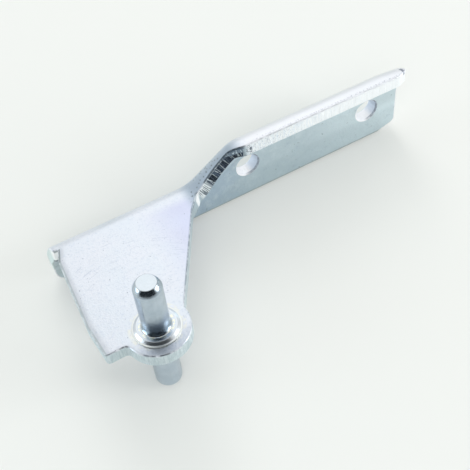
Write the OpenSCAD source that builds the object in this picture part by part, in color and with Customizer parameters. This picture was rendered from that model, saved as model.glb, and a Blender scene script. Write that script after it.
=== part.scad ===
// Fridge door hinge: a folded, stepped sheet bracket and the pin pressed through it.
// The origin is midway between the two screw holes, on the mounting face.
// +X runs along the fold, +Y points into the cabinet, +Z is up.

/* [Sheet] */
// Thickness of the sheet
sheet_t = 4; // [3:0.25:4.5]
// Inner radius of the long fold
fold_inner_r = 1; // [0.6:0.1:1.4]

/* [Mounting flange] */
// Distance from the pin's axis to the mounting face
flange_back = 40; // [36:0.5:46]
// Distance from the pin's axis to the flange's left end
flange_left = 14.1; // [13:0.1:14.5]
// Distance from the pin's axis to the flange's right end
flange_right = 96.2; // [92:0.2:110]
// How far the flange hangs below the plate's top at its left end
drop_left = 13.2; // [11:0.2:16]
// How far the flange hangs below the plate's top at its right end
drop_right = 12.2; // [11:0.2:16]
// Length of the cut at the lower right corner
toe_cut_l = 6; // [2:0.5:8]
// Height of the cut at the lower right corner
toe_cut_h = 1.8; // [1:0.2:4]
// Corner radius at the end of that cut
toe_r = 2; // [1:0.25:2.5]
// Radius of the lower left corner
heel_r = 3; // [1:0.25:4]
// How far the left end leans in towards the top of the fold
heel_lean = 1.1; // [0.4:0.1:1.4]

/* [End cut] */
// Distance from the pin's axis to the plate's left edge, where the end cut starts
end_cut_x = 12.9; // [12.2:0.1:13.2]
// How far the end cut runs in at the fold
end_cut_w = 1.4; // [0.6:0.1:1.6]
// Length of the end cut
end_cut_l = 4; // [2:0.2:5]
// Thickness left standing between the end cut and the flange's face
end_cut_land = 0.4; // [0.2:0.1:0.6]

/* [Screw holes] */
// Diameter of the two screw holes
hole_d = 7; // [5:0.25:7.5]
// Distance between the two holes
hole_pitch = 40; // [34:0.5:44]
// Distance from the pin's axis to the first hole
hole_x = 45.6; // [44:0.2:48]
// Height of the holes against the plate's top
hole_z = -1.5; // [-3:0.25:-1]

/* [Hinge plate] */
// Radius of the round nose about the pin
nose_r = 8.4; // [7.4:0.2:9.4]
// How far the stop ear reaches to the left of the pin's axis
ear_reach = 14.6; // [14:0.1:16]
// Distance behind the pin's axis at which the ear reaches furthest
ear_bulge_y = 9; // [6:0.5:14]
// How far the ear's front edge lies in front of the pin's axis
ear_front = 1.05; // [0:0.05:3]
// Slant of the ear's short side in front of the bulge
ear_taper = 0.5; // [0.1:0.1:1.5]
// Radius of the ear's front corner
ear_corner_r = 0.8; // [0.4:0.1:2]
// Radius in the notch between the ear and the nose
notch_r = 1.4; // [0.8:0.1:2.4]
// Radius where the nose runs into the neck
neck_r = 2.2; // [1:0.2:4]
// Angle about the pin at which the neck leaves the nose
neck_from = 13; // [5:1:20]
// Distance behind the pin's axis at which the neck's edge meets the ramp
neck_back = 28.4; // [26:0.2:30]

/* [Ramp] */
// Distance from the pin's axis to the foot of the ramp
step_start = 24.2; // [22:0.2:26]
// Rise from the hinge plate to the lip
step_h = 9.1; // [7:0.1:10]
// Steepest slope of the ramp
step_angle = 33; // [28:1:36]
// Radius of both bends of the ramp, on the top face
step_r = 10.5; // [9:0.25:12]
// Developed length over which the neck's edge swings round to run along the ramp
swing_l = 3.4; // [2.6:0.2:4]
// How far the relief at the head of the ramp is cut back from the lip's front
relief_depth = 1.6; // [0.6:0.1:1.8]

/* [Lip] */
// Width of the lip, from its front edge to the mounting face
lip_w = 6.8; // [6.6:0.1:9]
// How far the lip's end runs past the flange
lip_overhang = 1.8; // [0.4:0.2:3]
// Length of the cut at the lip's front corner
lip_cut_l = 3.4; // [1:0.2:5]
// Depth of the cut at the lip's front corner
lip_cut_w = 1.4; // [0.6:0.1:1.6]

/* [Hinge pin] */
// Diameter of the pin, above and below the plate
pin_d = 7; // [5:0.25:8]
// Height of the pin above the plate
pin_up = 17.5; // [12:0.5:26]
// Length of the pin below the plate
pin_down = 18.4; // [12:0.2:26]
// Height of the chamfer at the upper tip
tip_h = 1.9; // [0.8:0.1:2.4]
// Width of the chamfer at the upper tip
tip_w = 1.05; // [0.5:0.05:1.6]
// How far that chamfer bulges
tip_bulge = 0.2; // [0.05:0.05:0.25]
// Height of the rounded lower tip
foot_h = 1.2; // [0.8:0.1:2.4]
// Width of the rounding at the lower tip
foot_w = 0.8; // [0.5:0.1:1.6]
// Diameter of the collar
collar_d = 12.4; // [12:0.2:14]
// Height of the collar
collar_h = 0.9; // [0.8:0.1:1.4]
// Radius round the collar's upper edge
collar_r = 0.7; // [0.3:0.1:0.8]
// Radius at the root of the pin
root_r = 1.4; // [0.6:0.1:1.5]
// How much thicker the shank in the plate is than the pin
shank_extra = 0.8; // [0.4:0.1:1.6]
// Gap all round between the shank and its bore
bore_gap = 0.02; // [0.01:0.01:0.05]

/* [Hidden] */
$fn = 96;
zinc_plate = "lightsteelblue";
zinc_pin = "slategray";

// Both pieces are drawn about the pin's axis at the hinge plate's top. They are then
// moved to bring the middle of the two screw holes, on the mounting face, to the origin.
mount_centre = [hole_x + hole_pitch / 2, flange_back, hole_z];

shank_d = pin_d + shank_extra;
fold_r = fold_inner_r + sheet_t;
fold_y = flange_back - fold_r;
flange_front = flange_back - sheet_t;
lip_front = flange_back - lip_w;
lip_right = flange_right + lip_overhang;
// Straight stretch under each fold, where the fold and the flange overlap
leg = 1;
// Room by which a cutter stands clear of what it cuts
spare = 2;

// The ramp's top line: a bend, a straight slope and a bend back to level
bend_l = step_r * step_angle * PI / 180;
bend_x = step_r * sin(step_angle);
bend_z = step_r * (1 - cos(step_angle));
slope_l = (step_h - 2 * bend_z) / sin(step_angle);
slope_x = slope_l * cos(step_angle);
ramp_l = 2 * bend_l + slope_l;
step_end = step_start + 2 * bend_x + slope_x;

// Slope at the developed distance s from the foot of the ramp
function ramp_tilt(s) =
    s <= 0 || s >= ramp_l ? 0 :
    s < bend_l ? s / bend_l * step_angle :
    s <= bend_l + slope_l ? step_angle :
    (ramp_l - s) / bend_l * step_angle;

// Top of the sheet at the developed distance s, as [x, z]
function ramp_top(s) =
    s <= 0 ? [step_start + s, 0] :
    s >= ramp_l ? [step_end + s - ramp_l, step_h] :
    s < bend_l ?
        [step_start + step_r * sin(ramp_tilt(s)), step_r * (1 - cos(ramp_tilt(s)))] :
    s <= bend_l + slope_l ?
        [step_start + bend_x + (s - bend_l) * cos(step_angle),
         bend_z + (s - bend_l) * sin(step_angle)] :
        [step_end - step_r * sin(ramp_tilt(s)), step_h - step_r * (1 - cos(ramp_tilt(s)))];

// Point at the depth w under the top of the sheet, as [x, z]
function ramp_point(s, w) =
    ramp_top(s) + w * [sin(ramp_tilt(s)), -cos(ramp_tilt(s))];

// Least distance between the relief and the fold
relief_room = 0.1;

// Front edge of the blank along the ramp: it swings round from the neck,
// falls back into the relief at the ramp's head and returns to the lip's front
swing_y = lip_front - relief_depth / 2;
relief_y = min(lip_front + relief_depth, fold_y - relief_room);
relief_s = ramp_l - bend_l;
function edge_y(s) =
    s < swing_l ? neck_back + (swing_y - neck_back) * s / swing_l :
    s < relief_s ?
        swing_y + (relief_y - swing_y) * sin(90 * (s - swing_l) / (relief_s - swing_l)) :
    s < ramp_l ?
        lip_front + (relief_y - lip_front) * (1 + cos(180 * (s - relief_s) / bend_l)) / 2 :
    lip_front;

// Points of an arc about c, from the angle a to the angle b
arc_step = 7.5;
function arc(c, r, a, b) =
    let (n = max(1, ceil(abs(b - a) / arc_step)))
    [for (i = [0 : n]) c + r * [cos(a + (b - a) * i / n), sin(a + (b - a) * i / n)]];

// Section of the sheet square to the fold: lip or plate, fold and a short leg, as
// the line over its top and the line under it, which have as many points.
// x is the distance behind the pin's axis, y is the height over the sheet's top.
fold_axis = [fold_y, -fold_r];
function fold_top(front) = concat(
    [[front, 0]], arc(fold_axis, fold_r, 90, 0), [[flange_back, -fold_r - leg]]);
function fold_under(front) = concat(
    [[flange_front, -fold_r - leg]], arc(fold_axis, fold_inner_r, 0, 90), [[front, -sheet_t]]);
function fold_section(front) = concat(fold_top(front), fold_under(front));

// The section run straight along +X
module fold_run(front, length) {
    rotate([90, 0, 90]) linear_extrude(length) polygon(fold_section(front));
}

// The ramp with its stretch of the fold, lofted along the stepped sheet. Each ring
// is the section square to the slope, and starts at the blank's own edge.
module ramp() {
    steps = 36;
    half = len(fold_top(0));
    n = 2 * half;
    ring = function(s) [
        for (p = fold_section(edge_y(s)))
            let (q = ramp_point(s, -p[1])) [q[0], p[0], q[1]]
    ];
    foot = [for (k = [0 : half - 2]) [k + 1, k, n - 1 - k, n - 2 - k]];
    head = [for (q = foot) [for (k = [3 : -1 : 0]) q[k] + n * steps]];
    sides = [
        for (i = [0 : steps - 1], k = [0 : n - 1])
            [n * i + k, n * i + (k + 1) % n, n * (i + 1) + (k + 1) % n, n * (i + 1) + k]
    ];
    polyhedron([for (i = [0 : steps]) each ring(ramp_l * i / steps)], concat(foot, sides, head));
}

// Cut that frees the fold's left end: the plate's edge runs in to it, and the fold
// stands behind it
end_cut_back = flange_front - end_cut_land;
end_cut_y = end_cut_back - end_cut_l;
module end_cut() {
    side = -flange_left - spare;
    translate([0, 0, -sheet_t - spare]) linear_extrude(sheet_t + 2 * spare) polygon([
        [side, end_cut_y - spare],
        [-end_cut_x - spare * (ear_reach - end_cut_x) / (end_cut_y - ear_bulge_y), end_cut_y - spare],
        [-end_cut_x, end_cut_y],
        [end_cut_w - end_cut_x, end_cut_back],
        [side, end_cut_back]
    ]);
}

// What leans in at the fold's left end, seen from the front
module heel_lean_cut() {
    translate([0, flange_back + spare, 0]) rotate([90, 0, 0])
        linear_extrude(flange_back + spare - end_cut_back + leg) polygon([
            [-flange_left - spare, spare],
            [heel_lean * (1 + spare / fold_r) - flange_left, spare],
            [-flange_left, -fold_r],
            [-flange_left - spare, -fold_r]
        ]);
}

// Web that rounds the corner between the nose and a straight edge. Its circle bites
// slightly into both, so that no two outlines only touch.
bite = 0.02;
module nose_fillet(centre, r, out, inside) {
    start = atan2(-centre[1], -centre[0]);
    end = atan2(-out[1], -out[0]);
    swing = (end - start + 540) % 360 - 180;
    polygon(concat([inside], arc(centre, r, start, start + swing)));
}

// Centre of such a circle, beside an edge that passes the pin's axis at the distance
// off, on the side out, and runs along the unit vector along
function fillet_centre(r, off, out, along) =
    (off + r - bite) * out
    + sqrt(pow(nose_r + r - bite, 2) - pow(off + r - bite, 2)) * along;

// Plan of the level hinge plate, up to the fold and the foot of the ramp
module plate_plan() {
    corner = [-ear_reach + ear_taper + ear_corner_r, -ear_front + ear_corner_r];
    neck_start = nose_r * [cos(neck_from), sin(neck_from)];
    neck_end = [step_start, neck_back];
    along = (neck_end - neck_start) / norm(neck_end - neck_start);
    out = [along[1], -along[0]];
    ahead = [0, -1];
    notch = fillet_centre(notch_r, ear_front, ahead, [-1, 0]);
    bay = fillet_centre(neck_r, neck_start * out, out, along);
    circle(r = nose_r);
    polygon(concat(
        [
            [-flange_left, fold_y],
            [-flange_left, end_cut_y],
            [-end_cut_x, end_cut_y],
            [-ear_reach, ear_bulge_y]
        ],
        arc(corner, ear_corner_r, 180, 270),
        [[0, -ear_front], [nose_r / 2, 0], neck_start, neck_end, [step_start, fold_y]]
    ));
    nose_fillet(notch, notch_r, ahead, [-nose_r / 2, nose_r / 4]);
    nose_fillet(bay, neck_r, out, [0, nose_r / 2]);
}

// Upright flange, from its lower edge up into the straight legs of the fold.
// x is the distance along the fold, y is the height.
module flange_face() {
    depth = fold_r + leg / 2;
    steps = 24;
    slant = atan2(toe_cut_h, toe_cut_l);
    heel_z = toe_cut_h - drop_right;
    round_c = [flange_right - toe_r, heel_z + toe_r * tan(45 - slant / 2)];
    heel_c = [heel_r - flange_left, heel_r - drop_left];
    polygon(concat(
        arc(heel_c, heel_r, 270, 180),
        [[-flange_left, -depth]],
        [for (i = [0 : steps]) ramp_point(ramp_l * i / steps, depth)],
        [[flange_right, step_h - depth]],
        arc(round_c, toe_r, 0, slant - 90),
        [[flange_right - toe_cut_l, -drop_right]]
    ));
}

// Plan of the lip and what its end looks like from the front
module lip_plan() {
    polygon([
        [step_end - spare, lip_front],
        [lip_right - lip_cut_l, lip_front],
        [lip_right, lip_front + lip_cut_w],
        [lip_right, flange_back + spare],
        [step_end - spare, flange_back + spare]
    ]);
}

module lip_end() {
    polygon([
        [step_end - spare, step_h + spare],
        [lip_right, step_h + spare],
        [lip_right, step_h - sheet_t],
        [flange_right, step_h - sheet_t - lip_overhang],
        [flange_right, step_h - fold_r - 2 * leg],
        [step_end - spare, step_h - fold_r - 2 * leg]
    ]);
}

module lip() {
    intersection() {
        translate([step_end, 0, step_h]) fold_run(lip_front, lip_right - step_end);
        translate([0, 0, -spare]) linear_extrude(step_h + 2 * spare) lip_plan();
        translate([0, flange_back + spare, 0]) rotate([90, 0, 0])
            linear_extrude(lip_w + 2 * spare) lip_end();
    }
}

// One folded sheet: level plate, ramp, lip and flange, with its bore and screw holes
module bracket() {
    color(zinc_plate) translate(-mount_centre) difference() {
        union() {
            translate([0, 0, -sheet_t]) linear_extrude(sheet_t) plate_plan();
            translate([-flange_left, 0, 0]) fold_run(fold_y - leg, flange_left + step_start);
            ramp();
            lip();
            translate([0, flange_back, 0]) rotate([90, 0, 0])
                linear_extrude(sheet_t) flange_face();
        }
        translate([0, 0, -sheet_t - spare])
            cylinder(d = shank_d + 2 * bore_gap, h = sheet_t + 2 * spare);
        end_cut();
        heel_lean_cut();
        for (i = [0, 1])
            translate([hole_x + i * hole_pitch, flange_back + spare, hole_z])
                rotate([90, 0, 0]) cylinder(d = hole_d, h = sheet_t + 2 * spare);
    }
}

// Upper tip of the pin, from the side to the flat: a chamfer that bulges a little
function tip_curve() =
    let (slant = [-tip_w, tip_h], bulge = [tip_h, tip_w] / norm(slant) * tip_bulge)
    [for (t = [0 : 0.125 : 1])
        [pin_d / 2, pin_up - tip_h] + t * slant + 4 * t * (1 - t) * bulge];

// Rounded lower tip, as an elliptical quarter from the flat to the side
function foot_curve(low) = [
    for (a = [90 : -15 : 0]) [pin_d / 2 - foot_w * (1 - cos(a)), low + foot_h * (1 - sin(a))]
];

// The pin is turned in one piece; its collar seats on top of the plate
module hinge_pin() {
    low = -sheet_t - pin_down;
    root = pin_d / 2 + root_r;
    color(zinc_pin) translate(-mount_centre) rotate_extrude() difference() {
        polygon(concat(
            [[0, low]],
            foot_curve(low),
            [
                [pin_d / 2, -sheet_t],
                [shank_d / 2, -sheet_t],
                [shank_d / 2, 0],
                [collar_d / 2, 0]
            ],
            arc([collar_d / 2 - collar_r, collar_h - collar_r], collar_r, 0, 90),
            [
                [root, collar_h],
                [root, collar_h + root_r],
                [pin_d / 2, collar_h + root_r]
            ],
            tip_curve(),
            [[0, pin_up]]
        ));
        translate([root, collar_h + root_r]) circle(r = root_r);
    }
}

bracket();
hinge_pin();
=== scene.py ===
"""Fridge door hinge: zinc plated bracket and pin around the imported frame."""
import math

import bpy
import numpy as np
from mathutils import Matrix, Vector
from mathutils.geometry import delaunay_2d_cdt


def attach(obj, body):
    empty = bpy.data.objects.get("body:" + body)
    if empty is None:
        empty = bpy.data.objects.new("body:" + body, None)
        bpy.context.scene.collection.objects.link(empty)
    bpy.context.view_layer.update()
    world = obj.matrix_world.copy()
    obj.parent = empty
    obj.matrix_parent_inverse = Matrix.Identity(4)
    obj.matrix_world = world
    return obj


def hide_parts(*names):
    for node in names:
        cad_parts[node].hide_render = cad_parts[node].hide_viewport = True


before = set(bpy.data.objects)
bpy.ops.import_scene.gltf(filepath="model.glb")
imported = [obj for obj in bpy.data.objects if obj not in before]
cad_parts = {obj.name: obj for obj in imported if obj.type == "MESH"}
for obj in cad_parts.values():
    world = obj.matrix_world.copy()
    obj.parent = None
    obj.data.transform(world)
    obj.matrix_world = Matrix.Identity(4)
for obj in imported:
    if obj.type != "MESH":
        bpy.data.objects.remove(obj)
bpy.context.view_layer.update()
MM = 0.001
scene = bpy.context.scene
scene.view_settings.view_transform = "Standard"

# Camera, fitted to points read off the photo: its place in mm and its axes
CAM_AT = Vector((-94.744, -153.687, 168.768)) * MM
CAM_RIGHT = Vector((0.868262, -0.490923, -0.071526))
CAM_UP = Vector((0.417171, 0.644458, 0.640814))
CAM_BACK = CAM_RIGHT.cross(CAM_UP).normalized()
FOCAL_PX, PHOTO_PX = 850.0, 470.0
cam_data = bpy.data.cameras.new("camera")
cam_data.sensor_fit = "HORIZONTAL"
cam_data.sensor_width = 36.0
cam_data.lens = FOCAL_PX / PHOTO_PX * cam_data.sensor_width
cam_data.clip_start = 0.01
cam_data.clip_end = 20.0
camera = bpy.data.objects.new("camera", cam_data)
scene.collection.objects.link(camera)
rot = Matrix((CAM_RIGHT, CAM_UP, CAM_BACK)).transposed().to_4x4()
camera.matrix_world = Matrix.Translation(CAM_AT) @ rot
scene.camera = camera


# Sizes, in mm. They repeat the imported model's own, about the pin's axis at the plate's top.
SHEET_T = 4.0
FOLD_R = 5.0
FOLD_Y = 35.0
LEG = 1.0
HEEL_R = 4.6
HEEL_LEAN = 1.1
FLANGE_L = -14.1
FLANGE_R = 96.2
DROP_L = 13.2
DROP_R = 12.2
TOE_L = 6.0
TOE_H = 1.8
NOSE_R = 8.4
EAR_X = -14.6
EAR_Y = 9.0
EAR_FRONT = -1.05
END_CUT_X = -12.9
END_CUT_IN = 1.4
END_CUT_Y = 31.6
END_CUT_BACK = 35.6
STEP_X = 24.2
STEP_H = 9.1
STEP_A = math.radians(33)
STEP_R = 10.5
SWING_L = 3.4
NECK_Y = 28.4
LIP_Y = 33.2
RELIEF = 1.6
NECK_SLOPE = 1.656  # of the front edge, from the nose to the neck
LIP_R = 98.0
BORE_R = 3.92
HOLE_R = 3.5
HOLES = ((45.6, -1.5), (85.6, -1.5))
MOUNT = np.array((65.6, 40.0, -1.5))

BEND_L = STEP_R * STEP_A
BEND_X = STEP_R * math.sin(STEP_A)
BEND_Z = STEP_R * (1 - math.cos(STEP_A))
SLOPE_L = (STEP_H - 2 * BEND_Z) / math.sin(STEP_A)
RAMP_L = 2 * BEND_L + SLOPE_L
STEP_END = STEP_X + 2 * BEND_X + SLOPE_L * math.cos(STEP_A)


def ramp_tilt(s):
    """Tilt of the ramp at the developed distance s from its foot."""
    return np.interp(s, (0, BEND_L, BEND_L + SLOPE_L, RAMP_L), (0, STEP_A, STEP_A, 0))


def ramp_top(s):
    """Top of the sheet at the developed distance s from the ramp's foot, as x and z."""
    a = ramp_tilt(s)
    low_x, low_z = STEP_X + STEP_R * np.sin(a), STEP_R * (1 - np.cos(a))
    mid = np.clip(s - BEND_L, 0, SLOPE_L)
    mid_x = STEP_X + BEND_X + mid * math.cos(STEP_A)
    mid_z = BEND_Z + mid * math.sin(STEP_A)
    top_x, top_z = STEP_END - STEP_R * np.sin(a), STEP_H - STEP_R * (1 - np.cos(a))
    x = np.where(s <= 0, STEP_X + s, np.where(s < BEND_L, low_x, np.where(
        s <= BEND_L + SLOPE_L, mid_x, np.where(s < RAMP_L, top_x, STEP_END + s - RAMP_L))))
    z = np.where(s <= 0, 0, np.where(s < BEND_L, low_z, np.where(
        s <= BEND_L + SLOPE_L, mid_z, np.where(s < RAMP_L, top_z, STEP_H))))
    return x, z


def ramp_point(s, w):
    """Place at the depth w under the sheet's top, as x and z."""
    x, z = ramp_top(s)
    a = ramp_tilt(s)
    return x + w * np.sin(a), z - w * np.cos(a)


def edge_y(s):
    """Front edge of the blank along the ramp, with the relief at its head."""
    swing_y = LIP_Y - RELIEF / 2
    relief_y = LIP_Y + RELIEF
    relief_s = RAMP_L - BEND_L
    rise = np.sin(np.clip((s - SWING_L) / (relief_s - SWING_L), 0, 1) * math.pi / 2)
    fall = (1 + np.cos(np.clip((s - relief_s) / BEND_L, 0, 1) * math.pi)) / 2
    return np.where(s < SWING_L, NECK_Y + (swing_y - NECK_Y) * s / SWING_L, np.where(
        s < relief_s, swing_y + (relief_y - swing_y) * rise, LIP_Y + (relief_y - LIP_Y) * fall))


def edge_line(s):
    """Front edge of the blank from the nose to the lip."""
    return np.where(s < 0, NECK_Y + NECK_SLOPE * s, edge_y(s))


# The sheet is meshed flat, as (s, v): s runs along the fold and v from the front,
# over the fold, down the flange. Then each point is folded to its place.
FOLD_REF = 4.0
V_LEG = FOLD_Y + FOLD_REF * math.pi / 2
V_FACE = V_LEG + LEG
S_OF_X = -STEP_X


def fold(s, v, d):
    """Folds the flat point (s, v) at the depth d under the outer face, in mm."""
    a = np.clip((v - FOLD_Y) / FOLD_REF, 0, math.pi / 2)
    y = np.where(v <= FOLD_Y, v, FOLD_Y + (FOLD_R - d) * np.sin(a))
    w = np.where(v <= FOLD_Y, d, FOLD_R - (FOLD_R - d) * np.cos(a))
    w = w + np.clip(v - V_LEG, 0, LEG)
    x, z = ramp_point(s, w)
    z = z - np.maximum(v - V_FACE, 0)
    return np.stack((x, y, z), -1)


# Table of the line at which the flange's face starts
_s = np.linspace(-40, 80, 6001)
_face_x, _face_z = ramp_point(_s, FOLD_R + LEG)


def face_sv(x, z):
    """(s, v) of a point on the flange's face."""
    s = np.interp(x, _face_x, _s)
    return s, V_FACE + np.interp(x, _face_x, _face_z) - z


def arc(c, r, a, b, n=12):
    """Points of an arc from a to b degrees."""
    t = np.radians(np.linspace(a, b, n))
    return [(c[0] + r * math.cos(k), c[1] + r * math.sin(k)) for k in t]


def corner(p, q, r, radius, n=7):
    """Points that round the corner q between p and r."""
    p, q, r = np.array(p), np.array(q), np.array(r)
    u, w = p - q, r - q
    u, w = u / np.linalg.norm(u), w / np.linalg.norm(w)
    half = math.acos(np.clip(u @ w, -1, 1)) / 2
    reach = radius / math.tan(half)
    t = np.linspace(0, 1, n)[:, None]
    a, b = q + u * reach, q + w * reach
    return [tuple(k) for k in (1 - t) ** 2 * a + 2 * t * (1 - t) * q + t ** 2 * b]


def low_z(x):
    """Height of the flange's lower edge."""
    return np.interp(x, (FLANGE_L, FLANGE_R - TOE_L), (-DROP_L, -DROP_R))


# The outline's smaller sizes: the ear's tip, the notch beside the nose, the bay at the
# neck with the heading at which the neck's edge starts, and the lip's far corner
EAR_TIP_X = -14.05
NOTCH_R, NOTCH_Y = 1.4, -2.45
BAY_R, NECK_A = 2.2, math.radians(13)
LIP_CUT_X, LIP_CUT_Y = 3.4, 1.4
LIP_BACK_A = math.radians(78.5)
S_LIP_END = RAMP_L + LIP_R - STEP_END
S_FLANGE_END = RAMP_L + FLANGE_R - STEP_END


def flat_point(x, y):
    return (x + S_OF_X, y)


def left_outline():
    """The blank's left side, from the flange's heel to the plate's ear."""
    turn = np.linspace(math.pi / 2, 0.4, 14)
    lean = [(FLANGE_L + HEEL_LEAN * math.cos(a) + S_OF_X, FOLD_Y + FOLD_REF * a) for a in turn]
    cut_v = FOLD_Y + FOLD_REF * math.asin((END_CUT_BACK - FOLD_Y) / FOLD_R)
    heel_top = (FLANGE_L + HEEL_LEAN + S_OF_X, cut_v)
    cut_in = (END_CUT_X + END_CUT_IN + S_OF_X, cut_v)
    cut_out = flat_point(END_CUT_X, END_CUT_Y)
    ear_side = flat_point(EAR_X, EAR_Y)
    ear_tip = flat_point(EAR_TIP_X, EAR_FRONT)
    pts = list(lean)
    pts += corner(lean[-1], heel_top, cut_in, radius=0.7)
    pts += corner(heel_top, cut_in, cut_out, radius=0.3)
    pts += corner(cut_in, cut_out, ear_side, radius=3.0)
    pts += corner(cut_out, ear_side, ear_tip, radius=3.0)
    pts += corner(ear_side, ear_tip, flat_point(0, EAR_FRONT), radius=1.2)
    return pts


def nose_outline():
    """The notch beside the nose, the nose and the bay at the neck."""
    notch = (-math.sqrt((NOSE_R + NOTCH_R) ** 2 - NOTCH_Y ** 2), NOTCH_Y)
    notch_a = math.degrees(math.atan2(-NOTCH_Y, -notch[0]))
    start = NOSE_R * np.array((math.cos(NECK_A), math.sin(NECK_A)))
    along = np.array((STEP_X, NECK_Y)) - start
    along /= np.linalg.norm(along)
    out = np.array((along[1], -along[0]))
    off = start @ out + BAY_R
    bay = off * out + math.sqrt((NOSE_R + BAY_R) ** 2 - off ** 2) * along
    bay_a = math.degrees(math.atan2(bay[1], bay[0]))
    bay_end = math.degrees(math.atan2(-out[1], -out[0])) % 360
    pts = arc(notch, NOTCH_R, 90, notch_a)
    pts += arc((0, 0), NOSE_R, 180 + notch_a, 360 + bay_a, 80)
    pts += arc(bay, BAY_R, 180 + bay_a, bay_end)
    return [flat_point(*p) for p in pts]


def right_outline():
    """The ramp's edge, the lip and the flange's right end."""
    s = np.linspace(0, RAMP_L, 160)
    lip_front = (S_LIP_END - LIP_CUT_X, LIP_Y)
    lip_side = (S_LIP_END, LIP_Y + LIP_CUT_Y)
    lip_back = (S_LIP_END, FOLD_Y + FOLD_REF * LIP_BACK_A)
    face_top = (S_FLANGE_END, V_LEG + 0.8)
    heel = face_sv(FLANGE_R, TOE_H - DROP_R)
    toe = face_sv(FLANGE_R - TOE_L, -DROP_R)
    pts = list(zip(s, edge_y(s)))
    pts += corner((S_LIP_END - 9, LIP_Y), lip_front, lip_side, radius=1.4)
    pts += corner(lip_front, lip_side, lip_back, radius=1.4)
    pts += corner(lip_side, lip_back, face_top, radius=1.2)
    pts += corner(lip_back, face_top, heel, radius=0.8)
    pts += corner(face_top, heel, toe, radius=2.0)
    pts += corner(heel, toe, (toe[0] - 9, toe[1]), radius=1.5)
    return pts


def outline():
    """Outline of the flat blank, anticlockwise."""
    pts = left_outline() + nose_outline() + right_outline()
    low_x = np.linspace(FLANGE_R - TOE_L - 1, FLANGE_L + HEEL_R + 0.15, 220)
    heel = face_sv(FLANGE_L, low_z(FLANGE_L))
    pts += [face_sv(k, low_z(k)) for k in low_x]
    pts += corner(pts[-1], heel, pts[0], radius=HEEL_R, n=14)
    return np.array(pts, float)


def resample(pts, step, fine_step):
    """Evenly spaced points round the outline, closer along the ramp and the lip's front."""
    loop = np.vstack((pts, pts[:1]))
    size = np.hypot(*np.diff(loop, axis=0).T)
    loop = loop[np.concatenate(([True], size > 1e-6))]
    size = np.hypot(*np.diff(loop, axis=0).T)
    mid = (loop[1:] + loop[:-1]) / 2
    fine = (mid[:, 0] > -1) & (mid[:, 1] < LIP_Y + 3)
    weight = size / np.where(fine, fine_step, step)
    total = np.concatenate(([0], np.cumsum(weight)))
    at = np.linspace(0, total[-1], int(total[-1]), endpoint=False)
    return np.stack((np.interp(at, total, loop[:, 0]), np.interp(at, total, loop[:, 1])), 1)


def inward(loop):
    """Unit normals of a closed loop, to the left of its direction."""
    t = np.roll(loop, -1, 0) - np.roll(loop, 1, 0)
    n = np.stack((-t[:, 1], t[:, 0]), 1)
    n /= np.linalg.norm(n, axis=1)[:, None]
    n = (np.roll(n, -1, 0) + 2 * n + np.roll(n, 1, 0)) / 4
    return n / np.linalg.norm(n, axis=1)[:, None]


def inside(points, loop):
    """Which points lie inside a closed loop."""
    hit = np.zeros(len(points), bool)
    x, y = points[:, 0], points[:, 1]
    for (ax, ay), (bx, by) in zip(loop, np.roll(loop, -1, 0)):
        if ay == by:
            continue
        cross = (y >= min(ay, by)) & (y < max(ay, by))
        hit ^= cross & (x < ax + (y - ay) * (bx - ax) / (by - ay))
    return hit


def within(points, rims):
    """Which points lie inside the first rim and outside the others."""
    ok = inside(points, rims[0])
    for rim in rims[1:]:
        ok &= ~inside(points, rim)
    return ok


def clear_of(points, loop, gap):
    """Which points keep a gap, along s or v, from every point of a loop."""
    ok = np.ones(len(points), bool)
    for k in range(0, len(loop), 64):
        part = loop[k:k + 64]
        near = np.abs(points[:, None, :] - part[None]).max(2) < gap
        ok &= ~near.any(1)
    return ok


# Mesh of the sheet, in mm: spacing on the faces and along the edges, the edges'
# roundings, and where the cut face's roughness starts, rises to full and fades
GRID = 0.6
EDGE_STEP, FINE_STEP = 0.3, 0.13
HOLE_STEPS = 72
TOP_ROUND = 0.45
UNDER_ROUND = 0.18
ROUGH_FROM, ROUGH_RISE, ROUGH_FADE = 0.25, 0.6, 0.3


def wall_profile():
    """Rows down the cut face, as (inset, depth) from the top face to the face under it."""
    top = [(TOP_ROUND * (1 - math.sin(a)), TOP_ROUND * (1 - math.cos(a)))
           for a in np.radians(np.linspace(0, 90, 7))]
    low = [(TOP_ROUND * (1 - math.cos(a)), SHEET_T - UNDER_ROUND * (1 - math.sin(a)))
           for a in np.radians(np.linspace(0, 90, 5))]
    mid = [(0.0, d) for d in np.linspace(TOP_ROUND, SHEET_T - UNDER_ROUND, 12)[1:-1]]
    return top + mid + low


def smooth_noise(rng, n, width):
    """Closed row of n random numbers, smoothed over a width in samples, with a spread of 1."""
    raw = rng.normal(size=n)
    k = np.exp(-0.5 * (np.minimum(np.arange(n), n - np.arange(n)) / width) ** 2)
    out = np.real(np.fft.ifft(np.fft.fft(raw) * np.fft.fft(k)))
    return out / out.std()


def sheet_loops():
    """The blank's outline, bore and screw holes, each with the metal on its left."""
    turn = np.linspace(0, -2 * math.pi, HOLE_STEPS, endpoint=False)
    bore = np.stack((BORE_R * np.cos(turn) + S_OF_X, BORE_R * np.sin(turn)), 1)
    loops = [resample(outline(), EDGE_STEP, FINE_STEP), bore]
    for hx, hz in HOLES:
        loop = np.stack(face_sv(hx + HOLE_R * np.cos(turn), hz + HOLE_R * np.sin(turn)), 1)
        s, v = loop.T
        swept = np.sum(s * np.roll(v, -1) - np.roll(s, -1) * v)
        loops.append(loop if swept < 0 else loop[::-1])
    return loops


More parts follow.
